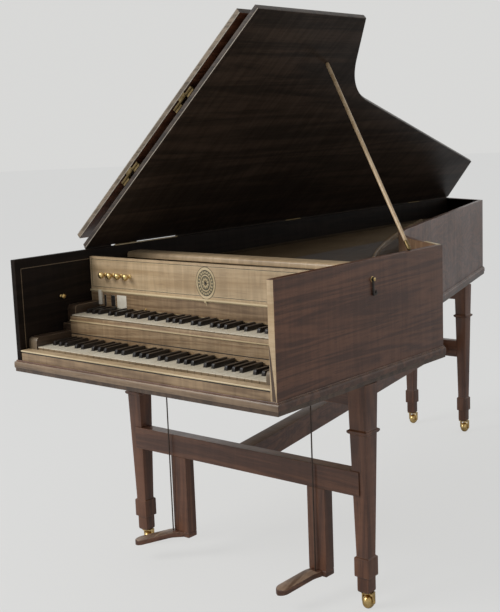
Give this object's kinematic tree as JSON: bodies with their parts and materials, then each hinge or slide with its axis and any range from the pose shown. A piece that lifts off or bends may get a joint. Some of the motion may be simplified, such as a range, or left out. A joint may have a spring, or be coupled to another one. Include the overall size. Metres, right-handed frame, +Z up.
{
  "type": "double-manual harpsichord",
  "caption": "Wing-shaped double-manual harpsichord with propped lid and folded-back flap, on a trestle stand with tapered legs, casters and pedals.",
  "frame": {"origin": "on the floor, under the centre of the object's bounding box as stored, lid propped open", "axes": "+X to the treble side, +Y from the keyboards to the tail, +Z up"},
  "size_m": [0.9858, 2.4458, 1.5789],
  "materials": {
    "mahogany": "satin polished mahogany",
    "lid_mahogany": "dark french polish",
    "figured_veneer": "pale figured veneer, waxed",
    "pine": "planed, unpolished",
    "spruce": "thin varnish",
    "key_wood": "bone-topped naturals, ebony sharps",
    "brass": "worn polish",
    "iron": "blackened",
    "pearwood": "waxed pearwood"
  },
  "bodies": {
    "case": {"spine": "mahogany", "cheekpiece": "mahogany", "bentside": "mahogany", "tailpiece": "mahogany", "bottom_board": "pine", "base_moulding": "mahogany", "keyslip": "figured_veneer", "lower_key_frame": "figured_veneer", "upper_key_frame": "figured_veneer", "nameboard": "figured_veneer", "wrestplank": "pine", "nut": "pearwood", "jack_rail": "pine", "belly_rail": "pine", "soundboard": "spruce", "soundboard_liner": "pine", "bridge": "pearwood", "front_left_leg": "mahogany", "front_right_leg": "mahogany", "rear_left_leg": "mahogany", "rear_right_leg": "mahogany", "front_stretcher": "mahogany", "rear_stretcher": "mahogany", "long_stretcher": "mahogany", "front_top_rail": "mahogany", "rear_top_rail": "mahogany", "left_pedal_board": "mahogany", "right_pedal_board": "mahogany"},
    "lid": {"lid": "lid_mahogany"},
    "lid_flap": {"lid_flap": "lid_mahogany"},
    "lid_stick": {"lid_stick": "pearwood"},
    "lid_hook": {"lid_hook": "brass"},
    "stop_knob_1": {"stop_knob_1": "brass"},
    "stop_knob_2": {"stop_knob_2": "brass"},
    "stop_knob_3": {"stop_knob_3": "brass"},
    "stop_knob_4": {"stop_knob_4": "brass"},
    "machine_stop_knob": {"machine_stop_knob": "brass"},
    "lower_register": {"lower_register": "pearwood"},
    "upper_register": {"upper_register": "pearwood"},
    "lower_keys_bass": {"lower_keys_bass": "key_wood"},
    "lower_jacks_bass": {"lower_jacks_bass": "pearwood"},
    "lower_keys_treble": {"lower_keys_treble": "key_wood"},
    "lower_jacks_treble": {"lower_jacks_treble": "pearwood"},
    "upper_keys_bass": {"upper_keys_bass": "key_wood"},
    "upper_jacks_bass": {"upper_jacks_bass": "pearwood"},
    "upper_keys_treble": {"upper_keys_treble": "key_wood"},
    "upper_jacks_treble": {"upper_jacks_treble": "pearwood"},
    "left_pedal": {"left_pedal": "mahogany"},
    "left_pedal_rod": {"left_pedal_rod": "iron"},
    "right_pedal": {"right_pedal": "mahogany"},
    "right_pedal_rod": {"right_pedal_rod": "iron"},
    "front_left_caster_horn": {"front_left_caster_horn": "brass"},
    "front_left_caster_wheel": {"front_left_caster_wheel": "brass"},
    "front_right_caster_horn": {"front_right_caster_horn": "brass"},
    "front_right_caster_wheel": {"front_right_caster_wheel": "brass"},
    "rear_left_caster_horn": {"rear_left_caster_horn": "brass"},
    "rear_left_caster_wheel": {"rear_left_caster_wheel": "brass"},
    "rear_right_caster_horn": {"rear_right_caster_horn": "brass"},
    "rear_right_caster_wheel": {"rear_right_caster_wheel": "brass"}
  },
  "joints": [
    {"name": "lid_hinge", "type": "hinge", "parent": "case", "child": "lid", "pos_m": [-0.46151, -0.00194, 0.935], "axis": [0, -1, 0], "range_deg": [0, 50]},
    {"name": "flap_hinge", "type": "hinge", "parent": "lid", "child": "lid_flap", "pos_m": [-0.47924, -0.93594, 0.95469], "axis": [0.7431, 0, 0.6691], "range_deg": [0, 180]},
    {"name": "stick_pivot", "type": "hinge", "parent": "case", "child": "lid_stick", "pos_m": [0.47399, -0.62394, 0.9408], "axis": [-0.6038, -0.7716, -0.2001], "range_deg": [0, 53.1]},
    {"name": "hook_pivot", "type": "hinge", "parent": "case", "child": "lid_hook", "pos_m": [0.48499, -0.81594, 0.884], "axis": [1, 0, 0], "range_deg": [-90, 170]},
    {"name": "stop_knob_1_pull", "type": "slide", "parent": "case", "child": "stop_knob_1", "axis": [0, -1, 0], "range_m": [0, 0.012]},
    {"name": "stop_knob_2_pull", "type": "slide", "parent": "case", "child": "stop_knob_2", "axis": [0, -1, 0], "range_m": [0, 0.012]},
    {"name": "stop_knob_3_pull", "type": "slide", "parent": "case", "child": "stop_knob_3", "axis": [0, -1, 0], "range_m": [0, 0.012]},
    {"name": "stop_knob_4_pull", "type": "slide", "parent": "case", "child": "stop_knob_4", "axis": [0, -1, 0], "range_m": [0, 0.012]},
    {"name": "machine_stop_pull", "type": "slide", "parent": "case", "child": "machine_stop_knob", "axis": [1, 0, 0], "range_m": [0, 0.008]},
    {"name": "lower_register_slide", "type": "slide", "parent": "case", "child": "lower_register", "axis": [1, 0, 0], "range_m": [0, 0.003]},
    {"name": "upper_register_slide", "type": "slide", "parent": "case", "child": "upper_register", "axis": [1, 0, 0], "range_m": [0, 0.003]},
    {"name": "lower_bass_key_dip", "type": "hinge", "parent": "case", "child": "lower_keys_bass", "pos_m": [-0.16801, -0.96594, 0.664], "axis": [1, 0, 0], "range_deg": [0, 2]},
    {"name": "lower_bass_jack_rise", "type": "slide", "parent": "lower_register", "child": "lower_jacks_bass", "axis": [0, 0, 1], "range_m": [0, 0.008]},
    {"name": "lower_treble_key_dip", "type": "hinge", "parent": "case", "child": "lower_keys_treble", "pos_m": [0.24699, -0.96594, 0.664], "axis": [1, 0, 0], "range_deg": [0, 2]},
    {"name": "lower_treble_jack_rise", "type": "slide", "parent": "lower_register", "child": "lower_jacks_treble", "axis": [0, 0, 1], "range_m": [0, 0.008]},
    {"name": "upper_bass_key_dip", "type": "hinge", "parent": "case", "child": "upper_keys_bass", "pos_m": [-0.16801, -0.91594, 0.741], "axis": [1, 0, 0], "range_deg": [0, 2.95]},
    {"name": "upper_bass_jack_rise", "type": "slide", "parent": "upper_register", "child": "upper_jacks_bass", "axis": [0, 0, 1], "range_m": [0, 0.008]},
    {"name": "upper_treble_key_dip", "type": "hinge", "parent": "case", "child": "upper_keys_treble", "pos_m": [0.24699, -0.91594, 0.741], "axis": [1, 0, 0], "range_deg": [0, 2.95]},
    {"name": "upper_treble_jack_rise", "type": "slide", "parent": "upper_register", "child": "upper_jacks_treble", "axis": [0, 0, 1], "range_m": [0, 0.008]},
    {"name": "left_pedal_tread", "type": "hinge", "parent": "case", "child": "left_pedal", "pos_m": [-0.18551, -0.82994, 0.086], "axis": [1, 0, 0], "range_deg": [0, 8], "stiffness_Nm_per_rad": 3, "springref_deg": -11.46},
    {"name": "left_rod_pull", "type": "slide", "parent": "case", "child": "left_pedal_rod", "axis": [0, 0, -1], "range_m": [0, 0.006]},
    {"name": "right_pedal_tread", "type": "hinge", "parent": "case", "child": "right_pedal", "pos_m": [0.32099, -0.82994, 0.086], "axis": [1, 0, 0], "range_deg": [0, 8], "stiffness_Nm_per_rad": 3, "springref_deg": -11.46},
    {"name": "right_rod_pull", "type": "slide", "parent": "case", "child": "right_pedal_rod", "axis": [0, 0, -1], "range_m": [0, 0.006]},
    {"name": "front_left_caster_swivel", "type": "hinge", "parent": "case", "child": "front_left_caster_horn", "pos_m": [-0.36201, -0.83894, 0.045], "axis": [0, 0, 1], "continuous": true},
    {"name": "front_left_caster_roll", "type": "hinge", "parent": "front_left_caster_horn", "child": "front_left_caster_wheel", "pos_m": [-0.36201, -0.83094, 0.02], "axis": [1, 0, 0], "continuous": true},
    {"name": "front_right_caster_swivel", "type": "hinge", "parent": "case", "child": "front_right_caster_horn", "pos_m": [0.46099, -0.83894, 0.045], "axis": [0, 0, 1], "continuous": true},
    {"name": "front_right_caster_roll", "type": "hinge", "parent": "front_right_caster_horn", "child": "front_right_caster_wheel", "pos_m": [0.46099, -0.83094, 0.02], "axis": [1, 0, 0], "continuous": true},
    {"name": "rear_left_caster_swivel", "type": "hinge", "parent": "case", "child": "rear_left_caster_horn", "pos_m": [-0.39401, 0.79006, 0.045], "axis": [0, 0, 1], "continuous": true},
    {"name": "rear_left_caster_roll", "type": "hinge", "parent": "rear_left_caster_horn", "child": "rear_left_caster_wheel", "pos_m": [-0.39401, 0.79806, 0.02], "axis": [1, 0, 0], "continuous": true},
    {"name": "rear_right_caster_swivel", "type": "hinge", "parent": "case", "child": "rear_right_caster_horn", "pos_m": [-0.14801, 0.79006, 0.045], "axis": [0, 0, 1], "continuous": true},
    {"name": "rear_right_caster_roll", "type": "hinge", "parent": "rear_right_caster_horn", "child": "rear_right_caster_wheel", "pos_m": [-0.14801, 0.79806, 0.02], "axis": [1, 0, 0], "continuous": true}
  ],
  "couplings": [
    {"joint": "lower_register_slide", "follows": "stop_knob_1_pull", "ratio": 0.25},
    {"joint": "upper_register_slide", "follows": "stop_knob_2_pull", "ratio": 0.25},
    {"joint": "lower_bass_jack_rise", "follows": "lower_bass_key_dip", "m_per_rad": 0.227},
    {"joint": "lower_treble_jack_rise", "follows": "lower_treble_key_dip", "m_per_rad": 0.227},
    {"joint": "upper_bass_jack_rise", "follows": "upper_bass_key_dip", "m_per_rad": 0.153},
    {"joint": "upper_treble_jack_rise", "follows": "upper_treble_key_dip", "m_per_rad": 0.153},
    {"joint": "left_rod_pull", "follows": "left_pedal_tread", "m_per_rad": 0.0425},
    {"joint": "right_rod_pull", "follows": "right_pedal_tread", "m_per_rad": 0.0425}
  ]
}
